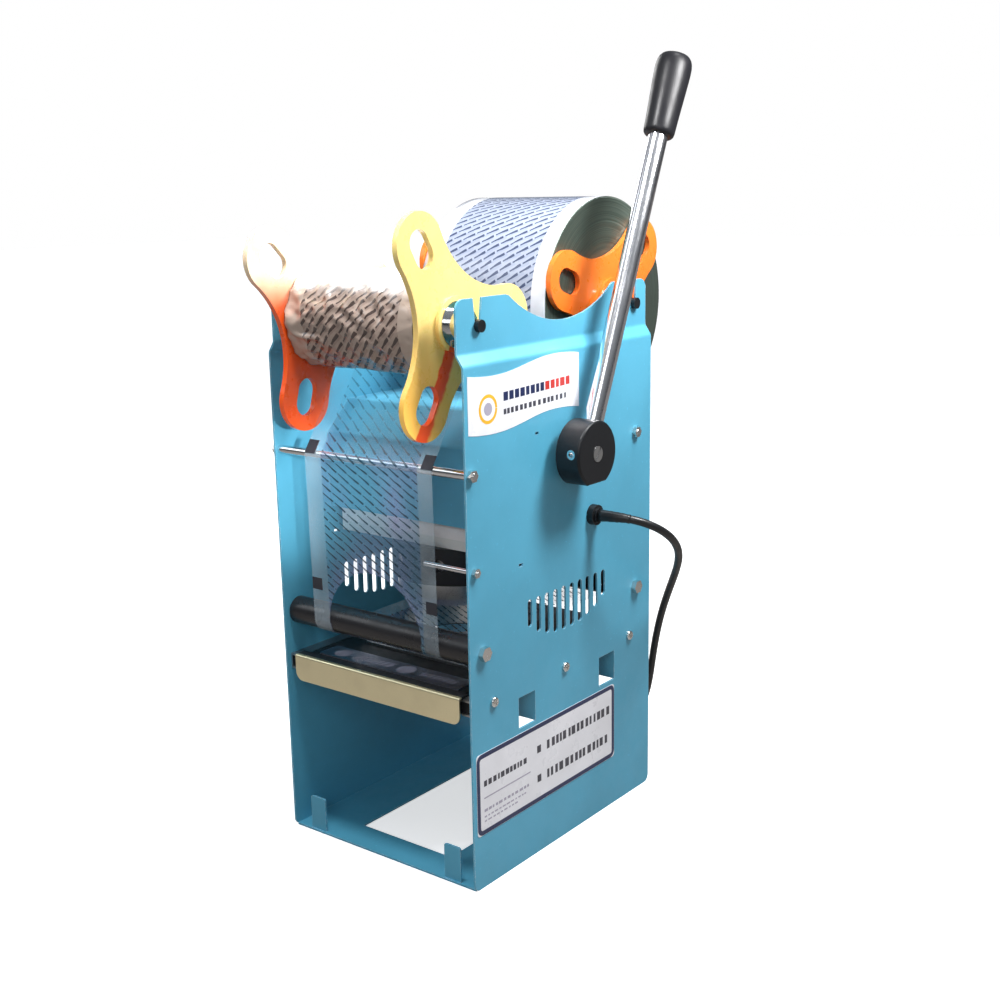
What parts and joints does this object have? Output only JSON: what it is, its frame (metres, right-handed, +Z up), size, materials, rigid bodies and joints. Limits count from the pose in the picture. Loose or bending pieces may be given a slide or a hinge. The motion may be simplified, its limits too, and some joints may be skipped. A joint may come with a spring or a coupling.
{
  "type": "manual cup sealing machine",
  "caption": "Hand-operated cup sealer: folded steel housing with film spools on top, a heated press head worked by a side lever, and a sliding cup drawer.",
  "frame": {"origin": "middle of the housing's footprint, on the surface it stands on", "axes": "+Z up; the operator stands at -Y; +X is the side with the lever"},
  "size_m": [0.2548, 0.3885, 0.616],
  "materials": {
    "blue_paint": "satin powder coat",
    "blue_inner": "satin powder coat",
    "bright_steel": "plain steel",
    "chrome": "polished",
    "alloy": "milled",
    "dark_alloy": "black coated casting",
    "board": "heat insulating board",
    "brass": "turned",
    "bronze": "sintered",
    "black_plastic": "moulded",
    "grip_plastic": "fine texture",
    "orange_plastic": "moulded",
    "yellow_plastic": "moulded",
    "roller_black": "satin sleeve",
    "rubber_pale": "silicone",
    "gold_steel": "pale gold",
    "silver_label": "printed foil",
    "paper_label": "printed film",
    "card": "wound paper",
    "film_print": "printed lidding film",
    "film_roll": "wound film",
    "cord_black": "jacket"
  },
  "bodies": {
    "housing": {"left_panel": "blue_paint", "right_panel": "blue_paint", "base_plate": "blue_paint", "heater_cover": "blue_inner", "guide_bridge": "bright_steel", "bronze_bushes": "bronze", "return_springs": "bright_steel", "film_rods": "chrome", "rod_nuts": "chrome", "drawer_rails": "bright_steel", "rail_screws": "chrome", "roller_bolts": "chrome", "side_labels": "paper_label", "cord_gland": "black_plastic", "terminal_block": "black_plastic", "film_rear_web": "film_print", "film_bottom_web": "film_print", "film_front_web": "film_print", "power_cord": "cord_black", "cord_tail": "cord_black", "cord_coil": "cord_black", "power_plug": "black_plastic"},
    "press_head": {"press_plate": "alloy", "insulator_board": "board", "heater_block": "dark_alloy", "heater_cartridges": "bright_steel", "head_bolts": "bright_steel", "seal_ring": "brass", "cutter_ring": "bright_steel", "thermostat": "black_plastic", "guide_posts": "chrome", "head_racks": "bright_steel"},
    "lever": {"lever_shaft": "bright_steel", "shaft_collar": "chrome", "lever_hub": "black_plastic", "hub_set_screw": "chrome", "lever_tube": "chrome", "lever_grip": "grip_plastic", "lever_pinions": "bright_steel"},
    "front_roller": {"front_roller": "roller_black"},
    "rear_roller": {"rear_roller": "roller_black"},
    "drawer": {"drawer_tray": "gold_steel", "drawer_runners": "black_plastic", "drawer_lip": "gold_steel", "drawer_label": "silver_label", "die_plate": "bright_steel", "cup_ring": "alloy", "ring_gasket": "rubber_pale"},
    "takeup_spool": {"takeup_shaft": "chrome", "takeup_flange_right": "yellow_plastic", "takeup_flange_left": "orange_plastic", "takeup_core": "card", "takeup_film": "film_roll", "takeup_clamps": "chrome"},
    "supply_spool": {"supply_shaft": "chrome", "supply_flange_right": "orange_plastic", "supply_flange_left": "yellow_plastic", "supply_core": "card", "supply_film": "film_roll", "supply_clamps": "chrome"}
  },
  "joints": [
    {"name": "press_slide", "type": "slide", "parent": "housing", "child": "press_head", "axis": [0, 0, -1], "range_m": [0, 0.021], "stiffness_N_per_m": 1500, "springref_m": -0.03, "deforming": ["return_springs"]},
    {"name": "lever_swing", "type": "hinge", "parent": "housing", "child": "lever", "pos_m": [0, 0, 0.318], "axis": [1, 0, 0], "range_deg": [0, 75.1]},
    {"name": "front_roller_spin", "type": "hinge", "parent": "housing", "child": "front_roller", "pos_m": [0, -0.1075, 0.185], "axis": [1, 0, 0], "continuous": true},
    {"name": "rear_roller_spin", "type": "hinge", "parent": "housing", "child": "rear_roller", "pos_m": [0, 0.099, 0.185], "axis": [1, 0, 0], "continuous": true},
    {"name": "drawer_slide", "type": "slide", "parent": "housing", "child": "drawer", "axis": [0, -1, 0], "range_m": [0, 0.125]},
    {"name": "takeup_spin", "type": "hinge", "parent": "housing", "child": "takeup_spool", "pos_m": [0, -0.0985, 0.4215], "axis": [1, 0, 0], "continuous": true},
    {"name": "supply_spin", "type": "hinge", "parent": "housing", "child": "supply_spool", "pos_m": [0, 0.104, 0.422], "axis": [1, 0, 0], "continuous": true}
  ],
  "couplings": [
    {"joint": "press_slide", "follows": "lever_swing", "m_per_rad": 0.016}
  ]
}
